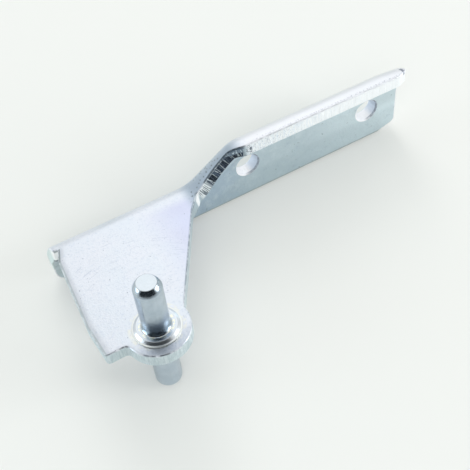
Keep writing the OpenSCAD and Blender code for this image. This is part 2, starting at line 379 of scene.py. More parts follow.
def face_mesh(outer, rims):
    """Points of the flat face, the rims' own first, where each rim starts, and triangles."""
    s = np.arange(outer[:, 0].min(), outer[:, 0].max(), GRID)
    v = np.arange(outer[:, 1].min(), outer[:, 1].max(), GRID * 0.866)
    ss, vv = np.meshgrid(s, v)
    ss = ss + (np.arange(len(v)) % 2)[:, None] * GRID / 2
    grid = np.stack((ss.ravel(), vv.ravel()), 1)
    grid = grid[within(grid, rims)]
    for rim in rims:
        grid = grid[clear_of(grid, rim, GRID * 0.55)]

    flat = np.vstack(rims + [grid])
    starts = np.cumsum([0] + [len(k) for k in rims])
    edges = []
    for a, b in zip(starts[:-1], starts[1:]):
        edges += [(i, i + 1) for i in range(a, b - 1)] + [(b - 1, a)]
    made = delaunay_2d_cdt([Vector(p) for p in flat], edges, [], 0, 1e-7)
    back = [k[0] for k in made[3]]
    tris = np.array([[back[i] for i in f] for f in made[2]])
    tris = tris[within(flat[tris].mean(1), rims)]
    a, b, c = flat[tris[:, 0]], flat[tris[:, 1]], flat[tris[:, 2]]
    flip = np.cross(b - a, c - a) < 0
    tris[flip] = tris[flip][:, ::-1]
    return flat, starts, tris


def raised(flat, share):
    """How far the relief moves points of the outer face, times a share."""
    top = fold(*flat.T, 0.0)
    up = (top - fold(*flat.T, SHEET_T)) / SHEET_T
    return up * (relief(flat, top) * share)[:, None]


def build_sheet():
    rng = np.random.RandomState(7)
    loops = sheet_loops()
    normals = [inward(k) for k in loops]
    rims = [k + n * TOP_ROUND for k, n in zip(loops, normals)]
    face, starts, tris = face_mesh(loops[0], rims)
    n = len(face)
    co, flat = [], []
    rows_of = {"cut_depth": [], "cut_wall": [], "cut_along": [], "hole_side": []}

    def add(points, where, **values):
        co.append(points)
        flat.append(where)
        for name, rows in rows_of.items():
            rows.append(np.broadcast_to(values.get(name, 0.0), len(where)))

    add(fold(*face.T, 0.0) + raised(face, 1.0), face)
    add(fold(*face.T, SHEET_T), face, cut_depth=SHEET_T)
    faces = [tris, tris[:, ::-1] + n]
    count = 2 * n
    for which, (loop, norm, start) in enumerate(zip(loops, normals, starts)):
        m = len(loop)
        step = np.linalg.norm(np.roll(loop, -1, 0) - loop, axis=1)
        u = np.concatenate(([0], np.cumsum(step)))[:-1]
        rough = wall_rough(rng, loop, which > 0)
        across = (loop[:, 0] - loop[:, 0].mean()) / HOLE_R if which > 1 else 0.0
        rows = [start + np.arange(m)]
        for inset, d in wall_profile()[1:-1]:
            part = np.clip((d - ROUGH_FROM) / ROUGH_RISE, 0, 1)
            part = part * np.clip((SHEET_T - d) / ROUGH_FADE, 0, 1)
            where = loop + norm * (inset + rough(d) * part)[:, None]
            points = fold(*where.T, d)
            if which == 0 and d < TOP_ROUND:
                points = points + raised(where, 1 - d / TOP_ROUND)
            wall = 1.0 if d >= TOP_ROUND * 0.5 else 0.0
            add(points, where, cut_depth=d, cut_wall=wall, cut_along=u, hole_side=across)
            rows.append(count + np.arange(m))
            count += m
        rows.append(n + start + np.arange(m))
        for p, q in zip(rows[:-1], rows[1:]):
            faces.append(np.stack((p, q, np.roll(q, -1), np.roll(p, -1)), 1))

    co, flat = np.vstack(co), np.vstack(flat)
    mesh = bpy.data.meshes.new("bracket_sheet")
    polys = [tuple(int(i) for i in f) for part in faces for f in part]
    mesh.from_pydata(((droop(co) - MOUNT) * MM).tolist(), [], polys)
    mesh.validate()
    mesh.shade_smooth()
    fields = {name: np.concatenate(rows) for name, rows in rows_of.items()}
    fields.update(flat_s=flat[:, 0], flat_v=flat[:, 1], edge_v=edge_line(flat[:, 0]),
                  left_gap=left_gap(flat), low_gap=low_gap(co, flat))
    for name, data in fields.items():
        layer = mesh.attributes.new(name, "FLOAT", "POINT")
        layer.data.foreach_set("value", data.astype(np.float32))
    return mesh


# Dents in the top face: place, radius and depth, in mm
DENTS = tuple((flat_point(x, y), r, deep) for x, y, r, deep in (
    (-6.4, 26.3, 0.9, 0.05), (14.9, 29.4, 0.7, 0.05), (18.7, 34.1, 0.8, 0.05),
    (2.5, 33.4, 0.6, 0.04), (10.1, 26.0, 0.5, 0.05), (-3.0, 32.5, 0.6, 0.04),
    (-2.1, 21.1, 0.5, 0.05), (-9.5, 14.0, 0.6, 0.03), (8.0, 30.5, 0.5, 0.03),
    (-11.0, 24.0, 0.5, 0.03)))
FAR = 9.0  # the gap that stands for a long way
# The die roll along the plate's left edge, and the droop of the lip's far end, with the
# place where it starts and the length that it takes along each axis
ROLL_DEEP, ROLL_W = 0.3, 0.9
DROOP_DEEP = 0.8
DROOP_X, DROOP_Y, DROOP_Z = (88.0, 10.0), (34.0, 4.5), (2.5, 5.0)


def left_gap(flat):
    """Distance from the plate's left edge, or a long way elsewhere."""
    x, y = flat[:, 0] + STEP_X, flat[:, 1]
    edge = np.interp(y, (EAR_FRONT, EAR_Y, END_CUT_Y, END_CUT_BACK),
                     (EAR_TIP_X, EAR_X, END_CUT_X, END_CUT_X + END_CUT_IN))
    return np.where((y < END_CUT_BACK) & (x < 0), np.maximum(x - edge, 0), FAR)


def low_gap(co, flat):
    """Height over the flange's lower edge, or a long way elsewhere."""
    return np.where(flat[:, 1] > V_FACE, co[:, 2] - low_z(co[:, 0]), FAR)


def relief(flat, top):
    """Height in mm that the outer face stands off its plane; never above it."""
    x, y = top[:, 0], flat[:, 1]
    slow = 0.011 * np.sin(x / 5.1 + 0.6 * np.sin(y / 4.3)) * np.sin(y / 3.7 + 1.1)
    wave = slow + 0.008 * np.sin(x / 2.3 + y / 3.1) - 0.02
    for (s, v), r, deep in DENTS:
        wave = wave - deep * np.exp(-((flat[:, 0] - s) ** 2 + (flat[:, 1] - v) ** 2) / r ** 2)
    return wave - ROLL_DEEP * np.exp(-(left_gap(flat) / ROLL_W) ** 2)


def droop(co):
    """Lets the back of the lip's far end fall away a little, as the cut dragged it down."""
    end, back, upper = (np.clip((k - at) / run, 0, 1)
                        for k, (at, run) in zip(co.T, (DROOP_X, DROOP_Y, DROOP_Z)))
    co = co.copy()
    co[:, 2] -= DROOP_DEEP * end ** 1.8 * back * back * (3 - 2 * back) * upper
    return co


def wall_rough(rng, loop, is_hole):
    """Random inset of the cut face, in mm, as a function of the depth."""
    m = len(loop)
    if is_hole:
        fine = np.maximum(smooth_noise(rng, m, 1.5) * 0.01 + 0.012, 0)
        return lambda d: fine
    ramp = np.clip((loop[:, 0] + 0.5) / 1.5, 0, 1) * (loop[:, 1] < LIP_Y + 2.5)
    coarse = smooth_noise(rng, m, 3.0)
    fine = smooth_noise(rng, m, 1.2)
    low = smooth_noise(rng, m, 2.0)

    def at(d):
        streak = 0.035 * np.maximum(coarse, -0.5) + 0.02 * fine
        torn = 0.03 * low * np.clip((d - 2.2) / 1.0, 0, 1)
        return np.maximum((0.3 + 0.7 * ramp) * streak + torn + 0.03, 0)
    return at


# Hinge pin, sizes in mm
PIN_AT = (-65.6, -40.0, 1.5)
PIN_R = 3.5
PIN_TOP = 17.5
PIN_LOW = -22.4
SHANK_R = 3.9
COLLAR_R = 6.2
COLLAR_H = 0.9
RIM_H = 0.28
CONE = ((5.72, 0.30), (5.02, 0.90))
ROOT_R = 0.5
TIP_W, TIP_H, TIP_BULGE = 1.05, 1.9, 0.12
FOOT_W, FOOT_H = 0.8, 1.2
PIN_STEPS = 128


def bow(c, rx, rz, a, b, n):
    """Part of an ellipse round c, from a to b degrees."""
    t = np.radians(np.linspace(a, b, n))
    return [(c[0] + rx * math.cos(k), c[1] + rz * math.sin(k)) for k in t]


def pin_profile():
    """The pin's profile, from the middle of its foot to that of its top, as r and z in mm."""
    slant = np.array((-TIP_W, TIP_H))
    out = np.array((TIP_H, TIP_W)) / np.linalg.norm(slant) * TIP_BULGE
    shoulder = np.array((PIN_R, PIN_TOP - TIP_H))
    root = PIN_R + ROOT_R
    rim_in = (COLLAR_R - 0.3, RIM_H)
    crease = PIN_R - TIP_W
    pts = [(0, PIN_LOW), (1.4, PIN_LOW)]
    pts += bow((PIN_R - FOOT_W, PIN_LOW + FOOT_H), FOOT_W, FOOT_H, -90, 0, 12)
    pts += [(PIN_R, z) for z in np.linspace(PIN_LOW + FOOT_H + 0.4, -SHEET_T - 0.05, 24)]
    pts += [(PIN_R, -SHEET_T), (SHANK_R, -SHEET_T), (SHANK_R, -SHEET_T + 0.1)]
    pts += [(SHANK_R, -0.1), (SHANK_R, 0.0), (COLLAR_R - 0.1, 0.0)]
    pts += [(COLLAR_R - 0.02, 0.02), (COLLAR_R, 0.06)]
    pts += corner((COLLAR_R, 0.1), (COLLAR_R, RIM_H), rim_in, radius=0.08, n=5)
    pts += corner(rim_in, CONE[0], CONE[1], radius=0.15, n=8)
    pts += corner(CONE[0], CONE[1], (root, COLLAR_H), radius=0.2, n=6)
    pts += bow((root, COLLAR_H + ROOT_R), ROOT_R, ROOT_R, 268, 180, 14)
    pts += [(PIN_R, z) for z in np.linspace(COLLAR_H + ROOT_R + 0.4, PIN_TOP - TIP_H - 0.1, 24)]
    pts += [tuple(shoulder + t * slant + 4 * t * (1 - t) * out) for t in np.linspace(0, 0.97, 14)]
    pts += [(crease - 0.05, PIN_TOP - 0.015), (crease - 0.12, PIN_TOP)]
    pts += [(crease - 0.5, PIN_TOP), (1.2, PIN_TOP), (0, PIN_TOP)]
    return np.array(pts, float)


def build_pin():
    """The profile turned about z, with a fan at each end."""
    prof = pin_profile()
    rows = prof[1:-1]
    n, turns = len(rows), PIN_STEPS
    t = np.linspace(0, 2 * math.pi, turns, endpoint=False)
    r = rows[:, 0][:, None]
    z = np.repeat(rows[:, 1][:, None], turns, 1)
    co = np.stack((r * np.cos(t), r * np.sin(t), z), -1).reshape(-1, 3)
    co = np.vstack((co, (0, 0, prof[0, 1]), (0, 0, prof[-1, 1])))
    faces = []
    for k in range(n - 1):
        for i in range(turns):
            j = (i + 1) % turns
            low, high = k * turns, (k + 1) * turns
            faces.append((low + i, low + j, high + j, high + i))
    for i in range(turns):
        j = (i + 1) % turns
        faces.append((n * turns, j, i))
        faces.append((n * turns + 1, (n - 1) * turns + i, (n - 1) * turns + j))
    mesh = bpy.data.meshes.new("hinge_pin_turned")
    mesh.from_pydata((co * MM).tolist(), [], faces)
    mesh.shade_smooth()
    return mesh


# Materials. Colours are red, green and blue, linear.


class Nodes:
    """Short way to build one material's node tree."""

    def __init__(self, name):
        self.mat = bpy.data.materials.new(name)
        self.mat.use_nodes = True
        self.tree = self.mat.node_tree
        self.tree.nodes.clear()
        self.out = self.tree.nodes.new("ShaderNodeOutputMaterial")

    def put(self, socket, value):
        if isinstance(value, bpy.types.NodeSocket):
            self.tree.links.new(value, socket)
        else:
            socket.default_value = value

    def add(self, kind, inputs=(), out=0, **props):
        n = self.tree.nodes.new("ShaderNode" + kind)
        for k, v in props.items():
            setattr(n, k, v)
        for k, v in dict(inputs).items():
            self.put(n.inputs[k], v)
        return n.outputs[out]

    def math(self, op, *values):
        """The operation over a row of values, from the left."""
        out = values[0]
        for k in values[1:]:
            out = self.add("Math", {0: out, 1: k}, operation=op)
        return out

    def times(self, *values):
        return self.math("MULTIPLY", *values)

    def plus(self, *values):
        return self.math("ADD", *values)

    def less(self, a, b):
        return self.math("SUBTRACT", a, b)

    def attr(self, name):
        return self.add("Attribute", attribute_name=name, out="Fac")

    def noise(self, vector, scale, detail=2.0, rough=0.5):
        inputs = {"Vector": vector, "Scale": scale, "Detail": detail, "Roughness": rough}
        return self.add("TexNoise", inputs, out="Fac")

    def span(self, value, low, high, to_low=0.0, to_high=1.0):
        """Smooth step of value from low to high."""
        inputs = {"Value": value, "From Min": low, "From Max": high,
                  "To Min": to_low, "To Max": to_high}
        return self.add("MapRange", inputs, interpolation_type="SMOOTHSTEP")

    def mix(self, fac, a, b):
        """Mix of two colours, given as sockets or as red, green and blue."""
        n = self.tree.nodes.new("ShaderNodeMix")
        n.data_type = "RGBA"
        self.put(n.inputs[0], fac)
        self.put(n.inputs[6], a if isinstance(a, bpy.types.NodeSocket) else (*a, 1))
        self.put(n.inputs[7], b if isinstance(b, bpy.types.NodeSocket) else (*b, 1))
        return n.outputs[2]

    def blend(self, fac, a, b):
        """Mix of two numbers."""
        n = self.tree.nodes.new("ShaderNodeMix")
        n.data_type = "FLOAT"
        self.put(n.inputs[0], fac)
        self.put(n.inputs[2], a)
        self.put(n.inputs[3], b)
        return n.outputs[0]

    def vector(self, x=0.0, y=0.0, z=0.0):
        return self.add("CombineXYZ", {"X": x, "Y": y, "Z": z})

    def length(self, vector):
        return self.add("VectorMath", {0: vector}, operation="LENGTH", out="Value")

    def scaled(self, vector, by):
        return self.add("VectorMath", {0: vector, 1: by}, operation="MULTIPLY")

    def bump(self, height, distance, strength, normal=None):
        inputs = {"Height": height, "Distance": distance, "Strength": strength}
        if normal is not None:
            inputs["Normal"] = normal
        return self.add("Bump", inputs)

    def surface(self, color, metal, rough, normal):
        inputs = {"Base Color": color, "Metallic": metal, "Roughness": rough, "Normal": normal}
        self.put(self.out.inputs[0], self.add("BsdfPrincipled", inputs))
        return self.mat


class SheetNodes(Nodes):
    """The sheet's node tree, with the fields and zones that its parts share.

    s and v are the flat place, u runs along the cut, d is the depth under the outer
    face and above the distance behind the front edge, all in mm. The zones are 1
    inside and 0 outside, and the ranges of all spans below are in mm too.
    """

    def __init__(self):
        super().__init__("zinc_plated_sheet")
        self.place = self.add("TexCoord", out="Object")
        self.s, self.v = self.attr("flat_s"), self.attr("flat_v")
        self.u, self.d = self.attr("cut_along"), self.attr("cut_depth")
        self.above = self.less(self.v, self.attr("edge_v"))
        self.cloud = self.noise(self.place, 130.0, 3.0, 0.6)
        self.grain = self.noise(self.place, 1500.0, 3.0, 0.65)
        self.patch = self.noise(self.place, 420.0, 4.0, 0.65)
        self.streak = self.on_cut(2.1, 0.22, 0.0, 4.0)
        self.torn = self.on_cut(1.3, 1.6)
        self.fleck = self.on_cut(2.2, 0.9, 4.0)
        self.set_zones()

    def on_cut(self, along, down, seed=0.0, detail=3.0, rough=0.6):
        """Noise on the cut face, with so many cells a mm along it and down it."""
        at = self.vector(self.times(self.u, along), self.times(self.d, down), seed)
        return self.noise(at, 1.0, detail, rough)

    def on_flat(self, scale, seed, detail):
        """Noise on the flat blank, with so many cells a mm."""
        return self.noise(self.vector(self.s, self.v, seed), scale, detail)

    def set_zones(self):
        s, v, span, times = self.s, self.v, self.span, self.times
        self.cut = span(self.attr("cut_wall"), 0.35, 0.65)
        self.top = span(self.d, 1.2, 0.6)
        self.front = span(v, LIP_Y + 3.2, LIP_Y + 2.6)
        # The small upright cut at the left of the fold
        left = END_CUT_X + END_CUT_IN - STEP_X
        self.end_cut = times(span(s, left + 0.6, left),
                             span(v, END_CUT_BACK - 1.0, END_CUT_BACK - 0.4),
                             span(v, V_LEG - 2.0, V_LEG - 4.0))
        lip = times(span(s, RAMP_L - 1.0, RAMP_L + 1.0), span(v, FOLD_Y + 6.0, FOLD_Y + 4.0))
        self.lip = self.math("MAXIMUM", lip, self.end_cut)
        self.in_hole = times(span(v, V_FACE + 1.0, V_FACE + 2.0),
                             span(s, RAMP_L + 60.0, RAMP_L + 58.0))
        # The sheared band along the ramp, painted dark for its reflection, and the bright facet
        # before it
        self.band = times(span(s, 6.4, 8.2), span(s, RAMP_L - 0.4, RAMP_L - 1.8), self.front)
        slanted = times(self.d, -0.35)
        facet_end = span(s, self.plus(4.6, slanted), self.plus(4.1, slanted))
        self.facet = times(span(s, 2.2, 2.7), facet_end, self.front)


def flange_color(m):
    """The flange's blue zinc with its own mottling and stains. Painted reflection of the floor
    makes it darker and bluer at the ramp and lighter towards both ends, and painted shade greys it
    under the lip's far end.
    """
    s, v = m.s, m.v
    # Painted reflection of the floor: darker and bluer at the ramp, lighter towards the right end
    # and at the left end
    blue = m.mix(m.span(s, 8.0, 34.0), (0.52, 0.64, 0.75), (0.63, 0.745, 0.81))
    blue = m.mix(m.span(s, 36.0, 62.0), blue, (0.78, 0.90, 0.96))
    blue = m.mix(m.span(s, -28.0, -34.0), blue, (0.60, 0.69, 0.71))
    # The flange's own mottling and stains
    blue = m.mix(m.times(m.span(m.patch, 0.45, 0.7), 0.55), blue, (0.74, 0.84, 0.90))
    stain = m.on_flat(0.9, 21.0, 2.0)
    blue = m.mix(m.times(m.span(stain, 0.68, 0.74), 0.55), blue, (0.30, 0.38, 0.42))
    blue = m.mix(m.times(m.span(m.patch, 0.42, 0.25), 0.4), blue, (0.45, 0.56, 0.66))
    # Painted shade under the lip's far end
    shade_under_lip = m.times(m.span(s, 52.0, 68.0), m.span(v, V_FACE + 7.0, V_FACE + 3.0), 0.4)
    return m.mix(shade_under_lip, blue, (0.52, 0.62, 0.66))


def rolled_color(m):
    """The rolled faces: lavender zinc with cloudy and fine mottling, and painted reflection and
    shade on the flange.
    """
    s, v = m.s, m.v
    face = m.mix(m.span(m.cloud, 0.3, 0.7), (0.80, 0.85, 0.925), (0.88, 0.91, 0.985))
    face = m.mix(m.times(m.span(m.grain, 0.48, 0.72), 0.45), face, (0.62, 0.69, 0.81))
    # More violet on the plate before the ramp, whiter on the lip, greyer over its fold
    before = m.times(m.span(s, -16.0, -2.0), m.span(s, 4.0, 0.0), m.span(v, FOLD_Y, FOLD_Y - 4.0))
    face = m.mix(m.times(before, 0.75), face, (0.68, 0.71, 0.92))
    on_lip = m.span(s, RAMP_L - 3.0, RAMP_L + 3.0)
    face = m.mix(m.times(on_lip, 0.7), face, (0.95, 0.96, 1.0))
    over_fold = m.times(on_lip, m.span(v, FOLD_Y + 0.5, FOLD_Y + 3.0), 0.6)
    face = m.mix(over_fold, face, (0.82, 0.86, 0.88))
    face = m.mix(m.span(v, FOLD_Y + 3.0, V_FACE + 1.0), face, flange_color(m))
    # Painted reflection of the floor's shadow: the flange darker towards its lower edge, except at
    # its left end
    foot = m.times(m.span(v, V_FACE + 5.5, V_FACE + 9.0), 0.30, m.span(s, -20.0, 0.0))
    face = m.mix(foot, face, (0.50, 0.62, 0.68))
    # Greener grey on the ramp
    on_ramp = m.times(m.span(s, -1.0, 3.0), m.span(s, RAMP_L, RAMP_L - 5.0),
                      m.span(v, V_FACE, FOLD_Y), 0.85)
    return m.mix(on_ramp, face, (0.45, 0.55, 0.66))


def worn_color(m, face):
    """Marks of wear on the plate, and the plating's yellow halo round the collar."""
    s, v = m.s, m.v
    x = m.plus(s, STEP_X)
    ring, turn = m.length(m.vector(x, v)), m.math("ARCTAN2", v, x)
    on_plate = m.span(v, FOLD_Y + 1.0, FOLD_Y - 1.0)
    where = m.on_flat(0.16, 3.0, 2.0)
    # Faint arcs worn round the pin, and scattered fine scratches
    worn = m.noise(m.vector(m.times(ring, 3.0), m.times(turn, 4.0)), 1.0)
    arcs = m.times(m.span(worn, 0.60, 0.68), m.span(where, 0.50, 0.60), on_plate,
                   m.span(s, 0.0, -2.0), 0.40)
    face = m.mix(arcs, face, (0.50, 0.56, 0.68))
    nick = m.on_flat(1.9, 7.0, 1.0)
    nicks = m.times(m.span(nick, 0.73, 0.77), m.span(where, 0.36, 0.46), on_plate, 0.7)
    face = m.mix(nicks, face, (0.30, 0.34, 0.42))
    uneven = m.span(m.noise(m.place, 500.0), 0.40, 0.60)
    halo = m.times(m.span(ring, 7.4, 6.7), m.span(ring, 5.0, 6.0), uneven, 0.5)
    face = m.mix(halo, face, (0.97, 0.95, 0.80))
    # Duller before the collar
    nose = m.times(m.span(v, -2.5, -6.0), m.span(ring, 6.0, 6.4),
                   m.span(m.grain, 0.35, 0.6, 0.45, 0.85))
    return m.mix(nose, face, (0.62, 0.68, 0.78))


def lip_color(m):
    """The lip's cut face: bright, with teeth and specks that thin out from the ramp."""
    s = m.s
    teeth = m.on_cut(2.4, 0.35, 9.0)
    bright = m.mix(m.span(teeth, 0.40, 0.60), (0.84, 0.90, 0.95), (0.96, 0.99, 1.0))
    far = m.times(m.span(s, RAMP_L + 14.0, RAMP_L + 34.0), 0.75)
    bright = m.mix(far, bright, (0.94, 0.975, 1.0))
    worn_in = m.times(m.span(teeth, 0.54, 0.62), m.span(s, RAMP_L + 16.0, RAMP_L + 2.0), 0.5)
    bright = m.mix(worn_in, bright, (0.45, 0.52, 0.60))
    speckle = m.on_cut(2.8, 1.9, 13.0, 2.0)
    specks = m.times(m.span(speckle, 0.55, 0.63), m.span(s, RAMP_L + 22.0, RAMP_L + 6.0), 0.75)
    return m.mix(specks, bright, (0.36, 0.44, 0.54))


def band_color(m):
    """The sheared band: shear-mark cells parted by light ridges, painted near-black for the dark
    reflection of its rolled-over edge, with a crescent of smeared metal at its head and a fine
    light line near its top."""
    s, d, fleck = m.s, m.d, m.fleck
    across = m.plus(m.times(m.u, 0.66), m.times(m.torn, 0.22))
    cells = {"Vector": m.vector(across, m.times(d, 0.07)), "Scale": 1.0, "Randomness": 0.9}
    ridge = m.add("TexVoronoi", cells, out="Distance", feature="DISTANCE_TO_EDGE")
    shade = m.add("SeparateXYZ", {0: m.add("TexVoronoi", cells, out="Color")}, out="X")
    # Painted dark reflection: the cells near-black
    band_shear_and_reflection = m.mix(m.span(shade, 0.1, 0.9), (0.005, 0.010, 0.020), (0.035, 0.055, 0.09))
    lines = m.on_cut(5.5, 0.25, 6.0, 2.0, 0.5)
    band_shear_and_reflection = m.mix(m.times(m.span(lines, 0.50, 0.66), 0.55), band_shear_and_reflection, (0.14, 0.19, 0.26))
    band_shear_and_reflection = m.mix(m.times(m.span(fleck, 0.56, 0.68), 0.6), band_shear_and_reflection, (0.26, 0.33, 0.41))
    ridges = m.times(m.span(ridge, 0.045, 0.012), m.span(fleck, 0.38, 0.5), 0.85)
    band_shear_and_reflection = m.mix(ridges, band_shear_and_reflection, (0.74, 0.84, 0.90))
    smear = m.mix(m.span(fleck, 0.50, 0.66), (0.17, 0.23, 0.30), (0.72, 0.82, 0.90))
    below = m.less(d, m.times(m.span(s, 14.6, 17.8), 2.2))
    crescent = m.times(m.span(s, 15.0, 16.0), m.span(below, 0.15, -0.15), m.span(d, 0.35, 0.6))
    band_shear_and_reflection = m.mix(crescent, band_shear_and_reflection, smear)
    line = m.times(m.span(m.less(d, 0.38), 0.0, 0.12), m.span(m.less(d, 0.78), 0.0, -0.12),
                   m.span(s, 15.5, 14.0), m.span(fleck, 0.36, 0.46), 0.9)
    band_shear_and_reflection = m.mix(line, band_shear_and_reflection, (0.78, 0.86, 0.90))
    rolled_in = m.times(m.span(d, 0.46, 0.30), m.span(s, 17.5, 15.0),
                        m.span(fleck, 0.38, 0.52, 0.35, 0.9))
    return m.mix(rolled_in, band_shear_and_reflection, (0.42, 0.50, 0.57))


def cut_color(m):
    """The cut faces: bright torn metal, in streaks across the sheet's thickness."""
    s, v, d = m.s, m.v, m.d
    edge = m.mix(m.span(m.streak, 0.35, 0.65), (0.60, 0.71, 0.755), (0.80, 0.89, 0.925))
    edge = m.mix(m.times(m.span(m.torn, 0.5, 0.72), 0.4), edge, (0.48, 0.57, 0.62))
    # Darker where the neck swings round to the ramp, and at the plate's back
    swing = m.times(m.span(s, -9.0, 0.5), m.front, m.span(v, NECK_Y - 9.0, NECK_Y), 0.6)
    edge = m.mix(swing, edge, (0.42, 0.52, 0.60))
    back = m.times(m.span(s, -16.0, -12.0), m.span(v, LIP_Y, NECK_Y), 0.35)
    edge = m.mix(back, edge, (0.50, 0.58, 0.60))
    edge = m.mix(m.lip, edge, lip_color(m))
    edge = m.mix(m.end_cut, edge, (1.0, 1.0, 1.0))
    behind = m.times(m.span(s, -37.0, -37.6), m.span(v, END_CUT_BACK - 0.4, END_CUT_BACK + 0.4))
    edge = m.mix(behind, edge, (0.74, 0.83, 0.82))
    # The screw holes' walls, with painted dark reflection that makes them bluer on the far side,
    # and a dark rim at the back
    hole_side = m.attr("hole_side")
    edge = m.mix(m.in_hole, edge, (0.96, 0.97, 1.0))
    far_side = m.times(m.in_hole, m.span(hole_side, 0.35, 0.95), 0.7)
    edge = m.mix(far_side, edge, (0.50, 0.60, 0.74))
    rim = m.times(m.in_hole, m.span(d, SHEET_T - 0.8, SHEET_T - 0.35),
                  m.span(m.torn, 0.30, 0.50), m.span(hole_side, -0.2, 0.5), 0.7)
    edge = m.mix(rim, edge, (0.20, 0.24, 0.30))
    # The sheared band, with its painted dark reflection
    edge = m.mix(m.band, edge, band_color(m))
    edge = m.mix(m.times(m.end_cut, m.span(d, 3.3, 3.6)), edge, (0.25, 0.30, 0.32))
    # Thin dark stripes under the band's foot, and marks past its head
    thin = m.on_cut(2.6, 0.15, 2.0, 1.0, 0.4)
    foot = m.times(m.span(s, 3.6, 4.4), m.span(s, 8.0, 6.6), m.front)
    head = m.times(m.span(s, RAMP_L - 1.5, RAMP_L), m.span(s, RAMP_L + 2.2, RAMP_L + 1.2), m.front)
    dash = m.times(m.span(s, RAMP_L + 0.7, RAMP_L + 1.0), m.span(s, RAMP_L + 1.7, RAMP_L + 1.4),
                   m.span(d, 1.2, 1.6), m.span(d, 3.5, 3.0), m.front)
    edge = m.mix(foot, edge, (0.86, 0.92, 0.95))
    edge = m.mix(m.times(foot, m.span(thin, 0.52, 0.56), 0.8), edge, (0.08, 0.12, 0.16))
    edge = m.mix(m.times(head, m.span(m.torn, 0.52, 0.58), 0.75), edge, (0.12, 0.16, 0.20))
    edge = m.mix(m.times(dash, m.span(m.fleck, 0.38, 0.46), 0.85), edge, (0.05, 0.08, 0.12))
    return m.mix(m.times(m.facet, 0.85), edge, (0.97, 0.985, 1.0))


def rim_color(m, color):
    """Die roll and dark specks along the edges of the outer face, with painted shade on the neck's
    rounded edge and where the plate's left edge meets the notch.
    """
    s, v, above = m.s, m.v, m.above
    dotted = m.noise(m.vector(m.times(s, 1.7), v, 11.0), 1.0, 3.0, 0.6)
    # Along the band, wider towards its head
    wider = m.times(m.span(s, 13.0, 16.0), 0.22)
    roll = m.times(m.span(above, m.plus(0.12, wider), m.plus(0.04, wider)), m.span(s, 7.0, 9.0),
                   m.span(s, RAMP_L + 0.5, RAMP_L - 2.0), m.top)
    roll = m.times(roll, m.span(dotted, 0.40, 0.55, 0.25, 0.85))
    color = m.mix(roll, color, (0.10, 0.14, 0.19))
    # Painted shade on the rounded edge along the neck, and a grey line along the plate's left side
    neck = m.times(m.span(above, 0.75, 0.35), m.span(s, -17.0, -12.0), m.span(s, 4.0, 3.0), m.top)
    color = m.mix(m.times(neck, 0.75), color, (0.34, 0.42, 0.48))
    left = m.times(m.span(m.attr("left_gap"), 0.75, 0.45), m.top)
    color = m.mix(m.times(left, 0.6), color, (0.50, 0.58, 0.60))
    # Painted shade where the plate's left edge runs along the notch at the fold
    at_end = m.times(left, m.span(v, END_CUT_Y - 0.8, END_CUT_Y + 0.2), 0.7)
    color = m.mix(at_end, color, (0.24, 0.29, 0.31))
    return color, dotted


def marks_color(m, color, dotted, pit):
    """Press marks on the ramp, painted shade along the flange's lower edge, and dark spots along
    the lip.
    """
    s, v, d, above = m.s, m.v, m.d, m.above
    color = m.mix(m.times(pit, 0.65), color, (0.22, 0.27, 0.30))
    # Painted shade along the flange's lower edge
    low = m.times(m.span(m.attr("low_gap"), 0.8, 0.25), 0.65)
    color = m.mix(low, color, (0.26, 0.34, 0.35))
    dots = m.times(m.span(s, RAMP_L + 1.0, RAMP_L + 3.0), m.span(above, 1.05, 0.85),
                   m.span(above, 0.35, 0.55), m.top, m.span(dotted, 0.50, 0.56), 0.42)
    color = m.mix(dots, color, (0.38, 0.42, 0.50))
    end = S_LIP_END
    tick = m.times(m.span(s, end - 1.9, end - 1.5), m.span(s, end - 0.8, end - 1.1),
                   m.span(v, LIP_Y + 3.0, LIP_Y + 2.6), m.span(d, 1.4, 0.8),
                   m.span(m.fleck, 0.40, 0.50), 0.8)
    return m.mix(tick, color, (0.16, 0.19, 0.27))


def sheet_material():
    m = SheetNodes()
    s, d, cut = m.s, m.d, m.cut
    color = m.mix(cut, worn_color(m, rolled_color(m)), cut_color(m))
    color, dotted = rim_color(m, color)
    cells = {"Vector": m.vector(s, m.v), "Scale": 1.05, "Randomness": 0.95}
    marks = m.add("TexVoronoi", cells, out="Distance")
    zone = m.times(m.span(s, 0.5, 2.5), m.span(s, 17.5, 15.0), m.span(m.above, 0.6, 1.2),
                   m.span(m.above, 4.6, 3.4), m.span(d, 1.0, 0.2))
    pit = m.times(m.span(marks, 0.32, 0.22), zone)
    color = marks_color(m, color, dotted, pit)
    # Bright bits of plating left along the cut faces' upper edge
    left_on = m.span(m.noise(m.vector(m.u, 0.0, 5.0), 1.1, 3.0, 0.6), 0.47, 0.55)
    bits = m.times(m.span(d, 0.02, 0.08), m.span(d, 0.60, 0.48), left_on, m.less(1.0, m.band))
    color = m.mix(m.times(bits, 0.4), color, (0.86, 0.89, 0.95))

    rough = m.blend(cut, m.span(m.cloud, 0.3, 0.7, 0.36, 0.44),
                    m.span(m.streak, 0.35, 0.65, 0.45, 0.62))
    rough = m.blend(m.times(m.band, cut), rough, 0.40)
    metal = m.blend(cut, 1.0, m.blend(m.lip, m.blend(m.in_hole, 0.8, 0.4), 0.1))
    metal = m.blend(m.times(m.facet, cut), metal, 0.1)
    metal = m.blend(bits, metal, 0.25)

    # Bump, with distances in metres
    dapple = m.times(m.patch, m.span(m.v, V_FACE, V_FACE + 1.0), m.less(1.0, cut))
    speck = m.noise(m.place, 2600.0)
    normal = m.bump(dapple, 0.0005, 0.8)
    normal = m.bump(m.plus(m.grain, speck), 0.00006, 0.7, normal)
    normal = m.bump(m.times(pit, -1.0), 0.00015, 0.8, normal)
    normal = m.bump(m.times(m.plus(m.streak, m.torn), cut), 0.00018, 0.8, normal)
    return m.surface(color, metal, rough, normal)


